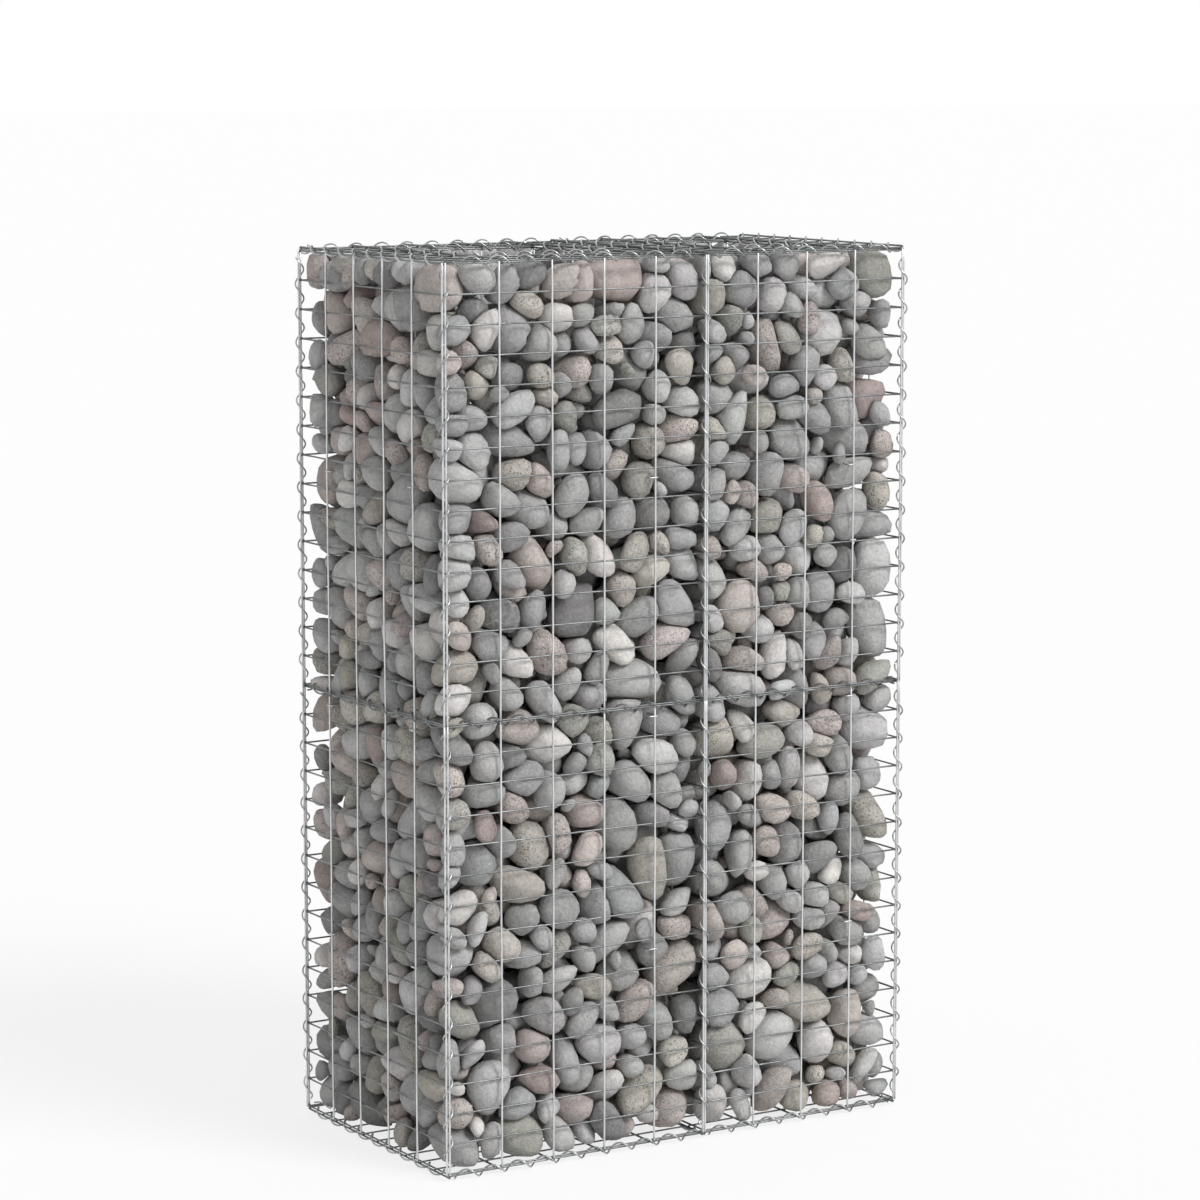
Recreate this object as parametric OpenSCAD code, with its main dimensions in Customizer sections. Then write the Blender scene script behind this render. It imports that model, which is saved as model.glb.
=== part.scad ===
// Gabion raised bed.
// Two tiers of welded mesh panels stand on each other in two bays. Spiral wires lace
// every edge, tie wires hold the walls together, cobbles fill the cage, and a mesh
// pocket for planting hangs in an opening of each bay's lid.
// X runs along the long front, Y from front to back, Z up from the ground. The origin
// is the middle of the footprint.

/* [Mesh] */
// Width of a mesh cell
cell_w = 100; // [80:5:150]
// Height of a mesh cell
cell_h = 50; // [40:5:75]
// Thickness of the outer wires, one for each cell width
wire_v = 3.5; // [2.5:0.1:4.5]
// Thickness of the inner wires, one for each cell height
wire_h = 3; // [2.5:0.1:4.5]
// Depth that crossing wires sink into each other at a weld
weld = 0.3; // [0.2:0.05:0.5]

/* [Cage] */
// Cells across the left bay
left_cols = 5; // [4:1:8]
// Cells across the right bay
right_cols = 4; // [4:1:8]
// Cells from front to back
depth_cols = 5; // [4:1:8]
// Cells up one tier
tier_rows = 15; // [10:1:20]

/* [Planting pockets] */
// Cells left as a rim between a pocket and the walls around it
rim_cols = 1; // [1:1:2]
// Cells down a pocket
pocket_rows = 6; // [3:1:9]

/* [Spirals] */
// Outer diameter of a lacing spiral
spiral_d = 18; // [17.5:0.5:24]
// Thickness of the spiral wire
spiral_wire = 3; // [2:0.1:3.5]
// Straight steps in one turn
spiral_steps = 6; // [6:1:10]
// Straight steps in one turn of the middle spirals, which hold a wire more
middle_steps = 12; // [12:2:16]

/* [Tie wires] */
// Thickness of a tie wire
tie_wire = 3; // [2:0.1:4]
// Length of the bar of a tie's hook in front of the wire it holds
hook_w = 18; // [14:1:30]
// Length of the hook's leg that turns back inside
hook_back = 16; // [8:1:30]
// Row of the lower tier just above the low ties
low_tie_row = 7; // [3:1:8]
// Row of the upper tier just above the high ties
high_tie_row = 8; // [3:1:8]
// Drop of a tie below the mesh row above it
tie_drop = 16; // [14:1:20]

/* [Cobble fill] */
// Space between the fill and the wires around it
fill_gap = 0.3; // [0.2:0.1:2]
// Space around a tie wire that runs through the fill
tunnel_gap = 0.3; // [0.2:0.1:2]

/* [Hidden] */

galvanised = "#a9adab";
spiral_steel = "#9da19f";
cobble_grey = "#8f8a83";

// Clear space between wires of neighbouring panels
slack = 0.15;
// Distance between the middles of two layers of crossing wires
lay = (wire_v + wire_h) / 2 - weld;
// A side panel's first upright lies this far behind the front uprights
side_in = wire_v / 2 + slack;
// A front panel's first upright lies this far inside the side uprights
front_in = lay + wire_h / 2 + slack;
// Two bays' front panels lie this far apart at the partition
bay_seam = wire_v + 2 * slack;
// A flat panel's inner wires lie this far beyond the last row of the walls
deck_drop = wire_h + slack + 0.05;
// Two tiers' rows lie this far apart where they meet
tier_seam = deck_drop;

left_w = left_cols * cell_w;
right_w = right_cols * cell_w;
depth_w = depth_cols * cell_w;
tier_h = tier_rows * cell_h;
pocket_h = pocket_rows * cell_h;

// Planes of the outer wires
cage_w = 2 * front_in + left_w + bay_seam + right_w;
cage_d = 2 * side_in + depth_w;
left_plane = -cage_w / 2;
right_plane = cage_w / 2;
front_plane = -cage_d / 2;
back_plane = cage_d / 2;

// First uprights of the bays' front panels, and the plane of the partition's uprights
left_x = left_plane + front_in;
right_x = left_x + left_w + bay_seam;
part_x = left_x + left_w + bay_seam / 2;
// First and last wires of the side panels and the decks
deck_y = front_plane + side_in;
deck_y_end = deck_y + depth_w;

// Spirals
spiral_r = (spiral_d - spiral_wire) / 2;
// Length of a turn of the flat spirals, one whole share of a cell's width
flat_pitch = cell_w / round(cell_w / cell_h);
// A spiral ends this far from the corner that it meets
spiral_end = spiral_d / 2 + 3;
// Middles of the lacing on a deck's edges, between the wires that it holds: beyond the
// last row of the walls, behind the front uprights and inside the side uprights
lace_drop = (deck_drop + lay) / 2;
front_lace = (lay + side_in) / 2;
side_lace = (lay + front_in) / 2;
// Middle of the lacing on the partition's ends, right of its uprights
middle_lace = 0.3;

// Heights: the bed stands on the spirals under its lowest row
low_z = spiral_d / 2 + lace_drop;
low_top = low_z + tier_h;
high_z = low_top + tier_seam;
high_top = high_z + tier_h;

// Sizes of the pockets, in cells
pocket_cols = [left_cols - 2 * rim_cols, right_cols - 2 * rim_cols];
pocket_depth_cols = depth_cols - 2 * rim_cols;
rim_w = rim_cols * cell_w;

low_tie_z = low_z + low_tie_row * cell_h - tie_drop;
mid_tie_z = low_top - tie_drop;
high_tie_z = high_z + high_tie_row * cell_h - tie_drop;
tie_heights = [low_tie_z, mid_tie_z, high_tie_z];
// Ties along the bed lie just under those across it
tie_step = tie_wire + slack;

// ---- Wires and panels ----

module bar_x(d, length) {
    translate([0, -d / 2, -d / 2]) cube([length, d, d]);
}

module bar_y(d, length) {
    translate([-d / 2, 0, -d / 2]) cube([d, length, d]);
}

module bar_z(d, length) {
    translate([-d / 2, -d / 2, 0]) cube([d, d, length]);
}

// A wall in the XZ plane: uprights on Y = 0, rows behind them, bottom row at Z = 0
module wall(width, cols, rows) {
    pitch = width / cols;
    for (i = [0 : cols])
        translate([i * pitch, 0, -wire_h / 2]) bar_z(wire_v, rows * cell_h + wire_h);
    for (k = [0 : rows])
        translate([0, lay, k * cell_h]) bar_x(wire_h, width);
}

// The same wall in the YZ plane: uprights on X = 0, rows to the right of them
module side_wall(width, cols, rows) {
    mirror([1, -1, 0]) wall(width, cols, rows);
}

// A flat panel: wires along X at Z = 0, one every flat_pitch, wires along Y below them.
// hole_cols and hole_depth_cols leave an opening inside a rim of rim_cols cells.
module deck(cols, depth, hole_cols = 0, hole_depth_cols = 0) {
    width = cols * cell_w;
    reach = depth * cell_w;
    lines = round(reach / flat_pitch);
    hole_x = rim_w + hole_cols * cell_w;
    hole_y = rim_w + hole_depth_cols * cell_w;
    edge = 0.01;
    for (j = [0 : lines])
        translate([0, j * flat_pitch, 0])
            if (hole_cols > 0 && j * flat_pitch > rim_w + edge && j * flat_pitch < hole_y - edge) {
                bar_x(wire_h, rim_w);
                translate([hole_x, 0, 0]) bar_x(wire_h, width - hole_x);
            } else {
                bar_x(wire_h, width);
            }
    for (i = [0 : cols])
        translate([i * cell_w, -wire_h / 2, -lay])
            if (hole_cols > 0 && i > rim_cols && i < rim_cols + hole_cols) {
                bar_y(wire_v, rim_w + wire_h);
                translate([0, hole_y, 0]) bar_y(wire_v, reach - hole_y + wire_h);
            } else {
                bar_y(wire_v, reach + wire_h);
            }
}

module lid(cols) {
    mirror([0, 0, 1]) deck(cols, depth_cols, cols - 2 * rim_cols, pocket_depth_cols);
}

// ---- Spirals ----

// Points of one ring of the spiral wire, a triangle with its flat side inwards
function ring(turn, height, climb, hand) = [
    for (corner = [[1, 0], [-0.5, sin(60)], [-0.5, -sin(60)]])
        let (
            r = spiral_r + corner[0] * spiral_wire / 2,
            b = corner[1] * spiral_wire / 2
        )
        [
            r * cos(turn) - b * sin(climb) * sin(turn),
            r * sin(turn) + b * sin(climb) * cos(turn),
            height - b * hand * cos(climb)
        ]
];

// A spiral wire along Z from Z = start to about Z = stop. It is at the angle lace
// where Z is a whole number of turns, which is where the mesh wires are.
module spiral(start, stop, pitch, hand, lace, steps = spiral_steps) {
    step = pitch / steps;
    count = floor((stop - start) / step);
    climb = atan(pitch / (2 * PI * spiral_r));
    points = [
        for (i = [0 : count])
            let (z = start + i * step)
            each ring(lace + hand * 360 * z / pitch, z, climb, hand)
    ];
    // Each side is split along the edge that keeps the wire thick
    sides = [
        for (i = [0 : count - 1], j = [0 : 2])
            let (a = 3 * i + j, b = 3 * i + (j + 1) % 3)
            each hand < 0
                ? [[a, a + 3, b + 3], [a, b + 3, b]]
                : [[a, a + 3, b], [b, a + 3, b + 3]]
    ];
    polyhedron(points, concat([[0, 1, 2]], sides, [[3 * count + 2, 3 * count + 1, 3 * count]]));
}

// Along X, from x = 0 at a mesh wire. The angle is measured from the back, towards up.
module spiral_x(start, stop, hand, lace) {
    rotate([0, 90, 0]) spiral(start, stop, flat_pitch, hand, lace + 90);
}

// Along Y, from y = 0 at a mesh wire. The angle is measured from right, towards up.
module spiral_y(start, stop, hand, lace, steps = spiral_steps) {
    rotate([-90, 0, 0]) spiral(start, stop, flat_pitch, hand, -lace, steps);
}

// Both tiers' spirals on one upright edge, at the same place of each tier
module upright_spirals(x, y, hand, lace) {
    color(spiral_steel)
        for (z = [low_z, high_z])
            translate([x, y, z]) spiral(spiral_end, tier_h - spiral_end, cell_h, hand, lace);
}

// Spirals along both bays, with a break at the partition
module long_spirals(y, z, hand, lace) {
    color(spiral_steel) {
        translate([left_x, y, z]) spiral_x(spiral_end, left_w - spiral_end, hand, lace);
        translate([right_x, y, z]) spiral_x(spiral_end, right_w - spiral_end, hand, lace);
    }
}

module deep_spiral(x, z, hand, lace, steps = spiral_steps) {
    color(spiral_steel)
        translate([x, deck_y, z]) spiral_y(spiral_end, depth_w - spiral_end, hand, lace, steps);
}

// ---- Walls, decks and pockets in place ----

module front_panel(x, cols, z) {
    color(galvanised) translate([x, front_plane, z]) wall(cols * cell_w, cols, tier_rows);
}

module back_panel(x, cols, z) {
    color(galvanised)
        translate([x, back_plane, z]) mirror([0, 1, 0]) wall(cols * cell_w, cols, tier_rows);
}

module left_panel(z) {
    color(galvanised)
        translate([left_plane, deck_y, z]) side_wall(depth_w, depth_cols, tier_rows);
}

module right_panel(z) {
    color(galvanised)
        translate([right_plane, deck_y, z])
            mirror([1, 0, 0]) side_wall(depth_w, depth_cols, tier_rows);
}

module partition_panel(z) {
    color(galvanised)
        translate([part_x, front_plane + front_in, z])
            side_wall(cage_d - 2 * front_in, depth_cols, tier_rows);
}

module base_panel(x, cols) {
    color(galvanised) translate([x, deck_y, low_z - deck_drop]) deck(cols, depth_cols);
}

module lid_panel(x, cols) {
    color(galvanised) translate([x, deck_y, high_top + deck_drop]) lid(cols);
}

// A pocket's planes, from the first wire of its bay's lid
function pocket_x(x) = x + rim_w - front_in;
function pocket_x_end(x, cols) = x + rim_w + cols * cell_w + front_in;
pocket_y = deck_y + rim_w - side_in;
pocket_y_end = deck_y_end - rim_w + side_in;
pocket_z = high_top - pocket_h;

module pocket_front(x, cols) {
    color(galvanised)
        translate([x + rim_w, pocket_y, pocket_z]) wall(cols * cell_w, cols, pocket_rows);
}

module pocket_back(x, cols) {
    color(galvanised)
        translate([x + rim_w, pocket_y_end, pocket_z])
            mirror([0, 1, 0]) wall(cols * cell_w, cols, pocket_rows);
}

// The side wall on the left of a pocket, and the one on its right
module pocket_near(x) {
    color(galvanised)
        translate([pocket_x(x), pocket_y + side_in, pocket_z])
            side_wall(pocket_depth_cols * cell_w, pocket_depth_cols, pocket_rows);
}

module pocket_far(x, cols) {
    color(galvanised)
        translate([pocket_x_end(x, cols), pocket_y + side_in, pocket_z])
            mirror([1, 0, 0])
                side_wall(pocket_depth_cols * cell_w, pocket_depth_cols, pocket_rows);
}

module pocket_floor(x, cols) {
    color(galvanised)
        translate([x + rim_w, pocket_y + side_in, pocket_z - deck_drop])
            deck(cols, pocket_depth_cols);
}

// The four spirals that lace a pocket's walls to the edge of its opening
module pocket_spirals(x, cols) {
    z = high_top + lace_drop;
    width = cols * cell_w;
    reach = pocket_depth_cols * cell_w;
    color(spiral_steel) {
        translate([x + rim_w, pocket_y + front_lace, z])
            spiral_x(spiral_end, width - spiral_end, 1, 30);
        translate([x + rim_w, pocket_y_end - front_lace, z])
            spiral_x(spiral_end, width - spiral_end, 1, 150);
        translate([pocket_x(x) + side_lace, pocket_y + side_in, z])
            spiral_y(spiral_end, reach - spiral_end, 1, 30);
        translate([pocket_x_end(x, cols) - side_lace, pocket_y + side_in, z])
            spiral_y(spiral_end, reach - spiral_end, 1, 150);
    }
}

// ---- Tie wires ----

// Middle of a tie, beside the upright that it holds
tie_beside = (wire_v + tie_wire) / 2 + slack;
// Middle of a hook's bar, in front of the upright
tie_front = (wire_v + tie_wire) / 2 + slack;

// A tie along Y beside the uprights at X = 0, hooked round them at both ends
module tie(length) {
    leg = tie_beside - hook_w + tie_wire;
    translate([tie_beside, -tie_front, 0]) bar_y(tie_wire, length + 2 * tie_front);
    for (end = [0, 1])
        translate([0, end * length, 0]) mirror([0, end, 0]) {
            translate([leg - tie_wire / 2, -tie_front, 0]) bar_x(tie_wire, hook_w);
            translate([leg, -tie_front, 0]) bar_y(tie_wire, hook_back);
        }
}

// Uprights that the ties hold: in the front panels, and in the sides as distances from
// the middle
across_x = [left_x + left_w - cell_w, right_x + right_w - cell_w];
along_y = depth_w / 2 - cell_w;

// Puts a tie through every place that ties take across the bed
module each_across() {
    for (x = across_x, z = tie_heights)
        translate([x, front_plane, z]) children();
}

// The same for the ties along the bed, which the children draw along Y
module each_along() {
    for (side = [0, 1], z = tie_heights)
        mirror([0, side, 0])
            translate([left_plane, along_y, z - tie_step]) mirror([1, -1, 0]) children();
}

module ties_across() {
    color(galvanised) each_across() tie(cage_d);
}

module ties_along() {
    color(galvanised) each_along() tie(cage_w);
}

// Room for one tie in the fill
module tunnel(length) {
    size = tie_wire + 2 * tunnel_gap;
    translate([tie_beside, 0, 0]) bar_y(size, length);
    for (end = [0, length])
        translate([tie_beside - hook_w + tie_wire, end - hook_back, 0])
            bar_y(size, 2 * hook_back);
}

// ---- Cobble fill ----

// The fill reaches the inner wires of the walls
wall_in = lay + wire_h / 2 + fill_gap;
// Room that the spirals take along the upright edges of the fill, and at its top and bottom
edge_room = spiral_d / 2 + lay - wall_in + 2 * fill_gap;
end_room = spiral_d / 2 + fill_gap;
// Height at which the two tiers' fills meet
fill_seam = low_top + tier_seam / 2;
fill_y = front_plane + wall_in;
fill_y_end = back_plane - wall_in;
fill_left = [left_plane + wall_in, part_x - wire_v / 2 - fill_gap];
fill_right = [part_x + wall_in, right_plane - wall_in];

// A box from low to high
module box(low, high) {
    translate(low) cube(high - low);
}

// A box that leaves room along its twelve edges
module notched(low, high) {
    room = [edge_room, edge_room, end_room];
    for (keep = [[1, 0, 0], [0, 1, 0], [0, 0, 1]])
        let (inset = [for (i = [0 : 2]) (1 - keep[i]) * room[i]])
            box(low + inset, high - inset);
}

// The fill of one bay between two heights
module fill(xs, z, z_end) {
    difference() {
        notched([xs[0], fill_y, z], [xs[1], fill_y_end, z_end]);
        each_across() tunnel(cage_d);
        each_along() tunnel(cage_w);
    }
}

module fill_lower(xs) {
    color(cobble_grey) fill(xs, low_z - deck_drop + wire_h / 2 + fill_gap, fill_seam);
}

// The upper fill leaves the room of its pocket and of the pocket's lacing
module fill_upper(xs, x, cols) {
    out = wire_v / 2 + fill_gap;
    low = pocket_z - deck_drop - lay - wire_v / 2 - fill_gap;
    brim = spiral_d / 2 - front_lace + 2 * fill_gap;
    top = high_top + deck_drop - wire_h / 2 - fill_gap;
    brim_z = high_top + lace_drop - spiral_d / 2 - fill_gap;
    px = pocket_x(x);
    px_end = pocket_x_end(x, cols);
    color(cobble_grey)
        difference() {
            fill(xs, fill_seam + fill_gap, top);
            box([px - out, pocket_y - out, low], [px_end + out, pocket_y_end + out, top + 1]);
            box([px - brim, pocket_y - brim, brim_z], [px_end + brim, pocket_y_end + brim, top + 1]);
        }
}

// ---- The nodes ----

corner = [(front_in) / 2, side_in / 2];
bay_lace_y = front_in - (pow(bay_seam / 2, 2) + pow(front_in, 2)) / (2 * front_in);
base_lace_z = low_z - lace_drop;
lid_lace_z = high_top + lace_drop;
tier_lace_z = fill_seam;
tier_lace = lay;
middle_lace_x = part_x + middle_lace;

front_panel(left_x, left_cols, low_z);  // lower_front_left
front_panel(right_x, right_cols, low_z);  // lower_front_right
back_panel(left_x, left_cols, low_z);  // lower_back_left
back_panel(right_x, right_cols, low_z);  // lower_back_right
left_panel(low_z);  // lower_side_left
right_panel(low_z);  // lower_side_right
partition_panel(low_z);  // lower_partition

front_panel(left_x, left_cols, high_z);  // upper_front_left
front_panel(right_x, right_cols, high_z);  // upper_front_right
back_panel(left_x, left_cols, high_z);  // upper_back_left
back_panel(right_x, right_cols, high_z);  // upper_back_right
left_panel(high_z);  // upper_side_left
right_panel(high_z);  // upper_side_right
partition_panel(high_z);  // upper_partition

base_panel(left_x, left_cols);  // base_left
base_panel(right_x, right_cols);  // base_right
lid_panel(left_x, left_cols);  // lid_left
lid_panel(right_x, right_cols);  // lid_right

pocket_front(left_x, pocket_cols[0]);  // pocket_left_front
pocket_back(left_x, pocket_cols[0]);  // pocket_left_back
pocket_near(left_x);  // pocket_left_near
pocket_far(left_x, pocket_cols[0]);  // pocket_left_far
pocket_floor(left_x, pocket_cols[0]);  // pocket_left_floor
pocket_front(right_x, pocket_cols[1]);  // pocket_right_front
pocket_back(right_x, pocket_cols[1]);  // pocket_right_back
pocket_near(right_x);  // pocket_right_near
pocket_far(right_x, pocket_cols[1]);  // pocket_right_far
pocket_floor(right_x, pocket_cols[1]);  // pocket_right_floor

upright_spirals(left_plane + corner[0], front_plane + corner[1], 1, 285);  // spiral_corner_front_left
upright_spirals(right_plane - corner[0], front_plane + corner[1], -1, 311);  // spiral_corner_front_right
upright_spirals(left_plane + corner[0], back_plane - corner[1], -1, 106);  // spiral_corner_back_left
upright_spirals(right_plane - corner[0], back_plane - corner[1], -1, 45);  // spiral_corner_back_right
upright_spirals(part_x, front_plane + bay_lace_y, -1, 270);  // spiral_bay_front
upright_spirals(part_x, back_plane - bay_lace_y, -1, 90);  // spiral_bay_back

long_spirals(front_plane + tier_lace, tier_lace_z, 1, 180);  // spiral_tier_front
long_spirals(back_plane - tier_lace, tier_lace_z, 1, 0);  // spiral_tier_back
deep_spiral(left_plane + tier_lace, tier_lace_z, 1, 180);  // spiral_tier_left
deep_spiral(right_plane - tier_lace, tier_lace_z, 1, 0);  // spiral_tier_right

long_spirals(front_plane + front_lace, base_lace_z, 1, 210);  // spiral_base_front
long_spirals(back_plane - front_lace, base_lace_z, 1, 330);  // spiral_base_back
deep_spiral(left_plane + side_lace, base_lace_z, 1, 210);  // spiral_base_left
deep_spiral(middle_lace_x, base_lace_z, 1, 270, middle_steps);  // spiral_base_middle
deep_spiral(right_plane - side_lace, base_lace_z, 1, 330);  // spiral_base_right

long_spirals(front_plane + front_lace, lid_lace_z, 1, 90);  // spiral_lid_front
long_spirals(back_plane - front_lace, lid_lace_z, 1, 30);  // spiral_lid_back
deep_spiral(left_plane + side_lace, lid_lace_z, 1, 150);  // spiral_lid_left
deep_spiral(middle_lace_x, lid_lace_z, 1, 90, middle_steps);  // spiral_lid_middle
deep_spiral(right_plane - side_lace, lid_lace_z, 1, 30);  // spiral_lid_right

pocket_spirals(left_x, pocket_cols[0]);  // spiral_pocket_left
pocket_spirals(right_x, pocket_cols[1]);  // spiral_pocket_right

ties_across();
ties_along();

fill_lower(fill_left);  // fill_lower_left
fill_lower(fill_right);  // fill_lower_right
fill_upper(fill_left, left_x, pocket_cols[0]);  // fill_upper_left
fill_upper(fill_right, right_x, pocket_cols[1]);  // fill_upper_right
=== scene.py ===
import math

import bpy
import numpy as np
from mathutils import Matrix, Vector


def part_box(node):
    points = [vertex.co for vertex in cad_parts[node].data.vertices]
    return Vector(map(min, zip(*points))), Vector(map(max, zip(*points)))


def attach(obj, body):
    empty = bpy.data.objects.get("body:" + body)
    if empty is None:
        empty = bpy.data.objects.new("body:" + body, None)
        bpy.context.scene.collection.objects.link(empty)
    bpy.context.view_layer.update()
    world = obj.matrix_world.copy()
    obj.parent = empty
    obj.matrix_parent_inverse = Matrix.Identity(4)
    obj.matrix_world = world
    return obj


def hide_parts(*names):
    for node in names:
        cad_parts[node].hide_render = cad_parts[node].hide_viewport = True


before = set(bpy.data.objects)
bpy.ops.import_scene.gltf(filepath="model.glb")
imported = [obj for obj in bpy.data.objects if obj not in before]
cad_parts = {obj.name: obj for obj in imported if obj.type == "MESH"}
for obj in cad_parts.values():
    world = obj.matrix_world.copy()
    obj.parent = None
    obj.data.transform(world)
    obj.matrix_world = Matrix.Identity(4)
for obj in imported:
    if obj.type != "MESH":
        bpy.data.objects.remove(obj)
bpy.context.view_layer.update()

# ---- Studio ----
# A pale floor under a plain white sky, one broad soft lamp high on the right of the front,
# and the camera off the left end of the front, a little above the lid.

SUN_STRENGTH = 2.35
SUN_SPREAD = math.radians(26)
SUN_FROM = Vector((0.40, -0.80, 0.80))
SKY_LIGHT = 0.51
FLOOR_GLOW = 0.80

CAMERA_PLACE = Vector((-3.477, -5.622, 1.839))
CAMERA_TURN = math.radians(31.70)
CAMERA_DIP = math.radians(8.01)
CAMERA_LENS = 115.25
CAMERA_SENSOR = 36
FLOOR_SIZE = 240
FLOOR_TONE = 0.90

scene = bpy.context.scene
scene.view_settings.view_transform = "Standard"

bpy.ops.object.light_add(type="SUN")
sun = bpy.context.object
sun.name = "softbox"
sun.data.energy = SUN_STRENGTH
sun.data.angle = SUN_SPREAD
sun.rotation_euler = SUN_FROM.to_track_quat("Z", "Y").to_euler()


def lit_and_shown(tree, lit, shown, share):
    """Mixes two shaders: lit for what lights the bed, shown by a share for camera and mirrors."""
    path = tree.nodes.new("ShaderNodeLightPath")
    seen = tree.nodes.new("ShaderNodeMath")
    seen.operation = "MAXIMUM"
    tree.links.new(path.outputs["Is Camera Ray"], seen.inputs[0])
    tree.links.new(path.outputs["Is Glossy Ray"], seen.inputs[1])
    part = tree.nodes.new("ShaderNodeMath")
    part.operation = "MULTIPLY"
    part.inputs[1].default_value = share
    tree.links.new(seen.outputs[0], part.inputs[0])
    both = tree.nodes.new("ShaderNodeMixShader")
    tree.links.new(part.outputs[0], both.inputs[0])
    tree.links.new(lit.outputs[0], both.inputs[1])
    tree.links.new(shown.outputs[0], both.inputs[2])
    return both


def white(tree, kind, strength):
    """A plain white light of a strength, as a background or a glow."""
    shader = tree.nodes.new(kind)
    shader.inputs["Color"].default_value = (1, 1, 1, 1)
    shader.inputs["Strength"].default_value = strength
    return shader


world = bpy.data.worlds.new("studio")
world.use_nodes = True
scene.world = world
sky = world.node_tree
sky.nodes.clear()
both = lit_and_shown(
    sky, white(sky, "ShaderNodeBackground", SKY_LIGHT), white(sky, "ShaderNodeBackground", 1.0), 1.0
)
out = sky.nodes.new("ShaderNodeOutputWorld")
sky.links.new(both.outputs[0], out.inputs["Surface"])

bpy.ops.mesh.primitive_plane_add(size=FLOOR_SIZE, location=(0, 0, 0))
floor = bpy.context.object
floor.name = "floor"
pale = bpy.data.materials.new("pale_floor")
pale.use_nodes = True
paint = pale.node_tree
ground = paint.nodes["Principled BSDF"]
ground.inputs["Base Color"].default_value = (FLOOR_TONE, FLOOR_TONE, FLOOR_TONE, 1)
ground.inputs["Roughness"].default_value = 0.9
both = lit_and_shown(paint, ground, white(paint, "ShaderNodeEmission", 1.0), FLOOR_GLOW)
paint.links.new(both.outputs[0], paint.nodes["Material Output"].inputs["Surface"])
floor.data.materials.append(pale)

bpy.ops.object.camera_add(location=CAMERA_PLACE)
camera = bpy.context.object
forward = Vector((
    math.sin(CAMERA_TURN) * math.cos(CAMERA_DIP),
    math.cos(CAMERA_TURN) * math.cos(CAMERA_DIP),
    -math.sin(CAMERA_DIP),
))
camera.rotation_euler = forward.to_track_quat("-Z", "Y").to_euler()
camera.data.sensor_width = CAMERA_SENSOR
camera.data.lens = CAMERA_LENS
scene.camera = camera


# ---- Welded mesh panels ----
# Walls, base, lids and pockets of welded mesh: drawn steel wires, cut and welded where they
# cross, then dipped in zinc. The uprights lie outside and the rows inside. Stones push the
# walls out a little. The rows, welds and deck wires are painted darker than the uprights, as
# painted shade.

UPRIGHT_WIRE = 0.0035
ROW_WIRE = 0.0030
ROW_STEP = 0.050
CELL = 0.100
LAY = 0.00295
WELD_IN = 0.52 * LAY
WIRE_SIDES = 10
WIRE_END = 0.0006
WELD_WIDE = 0.0029
WELD_HIGH = 0.0013
BULGE = 0.0009
BULGE_WAVES = 5
BULGE_CLOSE = (1, 5)
PHASE = 6
BULGE_RISE = 6
BULGE_EVEN = 0.6
BULGE_UNEVEN = 0.4
BULGE_SWAY = 0.4
AT_END = 1e-5
RIM_SLACK = 0.01
SMOOTH_ANGLE = math.radians(50)


class Value:
    """A value in a material. Sums written with it add Math nodes."""

    def __init__(self, finish, socket):
        self.finish, self.socket = finish, socket

    def math(self, operation, *others):
        numbers = dict(enumerate((self,) + others))
        return self.finish.node("ShaderNodeMath", {"operation": operation}, numbers)

    def __add__(self, other):
        return self.math("ADD", other)

    def __mul__(self, other):
        return self.math("MULTIPLY", other)

    def __sub__(self, other):
        return self.math("SUBTRACT", other)

    def __rsub__(self, other):
        return self.finish.node("ShaderNodeMath", {"operation": "SUBTRACT"}, {0: other, 1: self})

    __radd__, __rmul__ = __add__, __mul__

    def band(self, low, high):
        """0 below low, 1 above high, and smooth between."""
        return self.finish.node(
            "ShaderNodeMapRange", {"interpolation_type": "SMOOTHSTEP"},
            {"Value": self, "From Min": low, "From Max": high},
        )


class Finish:
    """A material, built from its shader's sockets."""

    def __init__(self, name, **sockets):
        self.material = bpy.data.materials.new(name)
        self.material.use_nodes = True
        self.tree = self.material.node_tree
        self.shader = self.tree.nodes["Principled BSDF"]
        for socket, value in sockets.items():
            self.set(socket.replace("_", " "), value)

    def node(self, kind, settings=None, sockets=None, output=0):
        """Adds a node: its settings first, then the values or links of its sockets."""
        made = self.tree.nodes.new(kind)
        for key, value in (settings or {}).items():
            setattr(made, key, value)
        for key, value in (sockets or {}).items():
            self.feed(made.inputs[key], value)
        return Value(self, made.outputs[output])

    def feed(self, socket, value):
        if isinstance(value, Value):
            self.tree.links.new(value.socket, socket)
        else:
            socket.default_value = value

    def set(self, socket, value):
        self.feed(self.shader.inputs[socket], value)

    def noise(self, place, scale, detail=2.0, roughness=0.5):
        return self.node(
            "ShaderNodeTexNoise", {},
            {"Vector": place, "Scale": scale, "Detail": detail, "Roughness": roughness},
        )

    def mix(self, mask, low, high):
        """A colour between two, by a mask."""
        return self.node(
            "ShaderNodeMix", {"data_type": "RGBA"}, {0: mask, 6: low, 7: high}, output=2
        )

    def bump(self, height, depth):
        normal = self.node("ShaderNodeBump", {}, {"Height": height, "Distance": depth})
        self.set("Normal", normal)


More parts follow.
